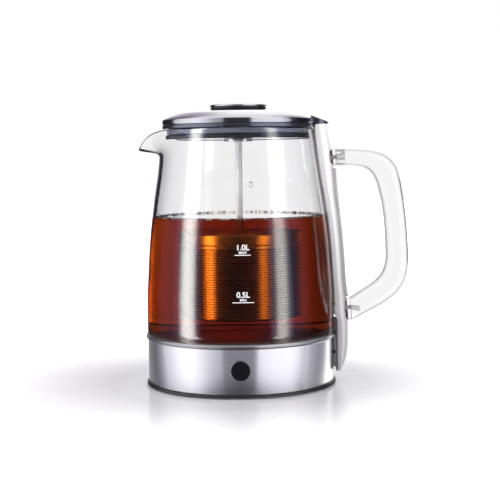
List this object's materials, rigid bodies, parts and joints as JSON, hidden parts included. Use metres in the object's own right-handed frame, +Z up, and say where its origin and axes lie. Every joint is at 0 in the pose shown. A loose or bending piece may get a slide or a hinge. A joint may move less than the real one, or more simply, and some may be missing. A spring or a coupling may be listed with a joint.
{
  "type": "electric teapot",
  "caption": "Cordless glass tea kettle: tapering jug with a pulled spout on a steel collar, lift-off lid, tea strainer on a lifting rod, and a clear loop handle on a back spine.",
  "frame": {"origin": "middle of the whole outline, handle and spout included, on the table; the jug's axis stands 26.4 mm to -X of it", "axes": "+Z up; +X towards the handle, -X towards the spout; -Y towards the level marks and the badge"},
  "size_m": [0.2054, 0.146, 0.213],
  "materials": {
    "jug_glass": "clear borosilicate, polished",
    "clear_handle": "clear moulded acrylic, polished",
    "clear_bond": "clear silicone bond",
    "brushed_collar": "brushed round the collar",
    "polished_steel": "polished stainless steel",
    "strainer_steel": "fine satin stainless steel",
    "plain_steel": "plain stainless steel",
    "dark_steel": "dark blue-grey, glossy",
    "pearl_cover": "satin pearl lacquer",
    "plug_plastic": "smooth blue-grey",
    "dark_plastic": "fine satin",
    "black_plastic": "fine satin",
    "badge_gloss": "glossy black, bare",
    "dark_silicone": "matt silicone",
    "pale_silicone": "matt silicone",
    "aluminium": "as cast",
    "brass": "plain"
  },
  "bodies": {
    "jug": {"glass_jug": "jug_glass", "foot_ring": "black_plastic", "base_cover": "black_plastic", "cradle": "dark_plastic", "collar": "brushed_collar", "badge": "badge_gloss", "base_screw_1": "plain_steel", "base_screw_2": "plain_steel", "base_screw_3": "plain_steel", "floor_plate": "plain_steel", "floor_seal": "pale_silicone", "heat_spreader": "aluminium", "heating_element": "aluminium", "element_pin_1": "brass", "element_pin_2": "brass", "lead_1": "dark_silicone", "lead_2": "dark_silicone", "bimetal_disc_1": "brass", "bimetal_disc_2": "brass", "sensor_probe": "plain_steel", "control_body": "black_plastic", "socket_housing": "black_plastic", "centre_contact": "brass", "ring_contact": "brass", "spine_cover": "pearl_cover", "spine_backing": "dark_plastic", "bond_strip": "clear_bond", "spine_cap": "dark_steel", "handle": "clear_handle", "handle_seat_upper": "clear_bond", "handle_seat_lower": "clear_bond", "handle_screw_upper": "plain_steel", "handle_screw_lower": "plain_steel", "spine_screw": "plain_steel"},
    "lid": {"lid_dome": "polished_steel", "lid_band": "dark_steel", "lid_plug": "plug_plastic", "lid_seal": "dark_silicone", "rod_bush": "dark_plastic", "bush_nut": "plain_steel", "grip_ring": "dark_silicone", "lid_screw_1": "plain_steel", "lid_screw_2": "plain_steel", "lid_screw_3": "plain_steel"},
    "infuser": {"knob_cap": "polished_steel", "knob_base": "black_plastic", "lift_rod": "polished_steel", "strainer_cap": "strainer_steel", "rod_nut": "strainer_steel"},
    "strainer": {"strainer_rim": "strainer_steel", "strainer_mesh": "strainer_steel", "strainer_floor": "strainer_steel"}
  },
  "joints": [
    {"name": "lid_lift", "type": "slide", "parent": "jug", "child": "lid", "axis": [0, 0, 1], "range_m": [0, 0.16]},
    {"name": "infuser_lift", "type": "slide", "parent": "lid", "child": "infuser", "axis": [0, 0, 1], "range_m": [0, 0.068]},
    {"name": "strainer_turn", "type": "hinge", "parent": "infuser", "child": "strainer", "pos_m": [-0.02641, 0, 0.106], "axis": [0, 0, 1], "range_deg": [0, 25]}
  ]
}
